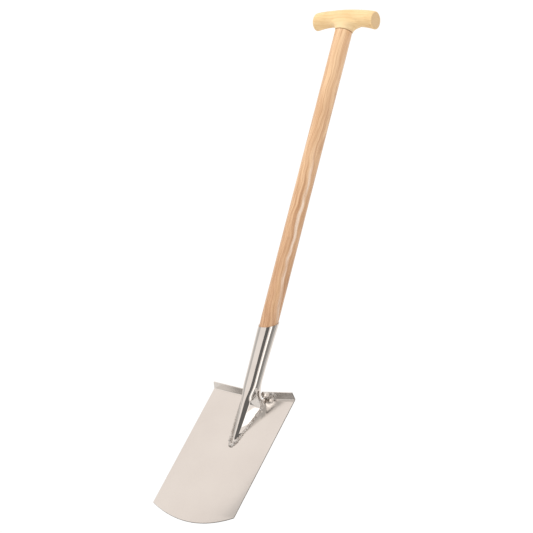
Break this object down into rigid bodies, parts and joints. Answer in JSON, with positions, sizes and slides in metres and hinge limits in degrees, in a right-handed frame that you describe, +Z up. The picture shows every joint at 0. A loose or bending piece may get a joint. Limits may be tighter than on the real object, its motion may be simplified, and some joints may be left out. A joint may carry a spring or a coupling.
{
  "type": "garden spade",
  "caption": "Digging spade with a dished stainless blade, folded treads, a welded tapering socket, a round ash shaft and a waisted wooden T-grip.",
  "frame": {"origin": "middle of the bounding box, at the height of the lowest point of the cutting edge", "axes": "+Z up the shaft from the cutting edge to the grip, +X along the grip and across the blade, -Y towards the dished front of the blade, where the socket's tongue lies"},
  "size_m": [0.19, 0.1136, 1.0712],
  "materials": {
    "blade_steel": "polished stainless sheet with a soft, even reflection and fine grinding lines",
    "socket_steel": "bright polished stainless sheet",
    "weld_steel": "uneven, rippled weld bead, brushed but not ground flat",
    "ash_wood": "clear-varnished ash with long straight grain",
    "grip_wood": "smooth sanded pale wood, end grain on the two end faces",
    "fastener_steel": "plain steel"
  },
  "bodies": {
    "root": {"blade": "blade_steel", "socket": "socket_steel", "tongue_weld": "weld_steel", "tread_weld_left": "weld_steel", "tread_weld_right": "weld_steel", "shaft": "ash_wood", "t_grip": "grip_wood", "socket_screw": "fastener_steel", "grip_pin": "fastener_steel"}
  },
  "joints": []
}
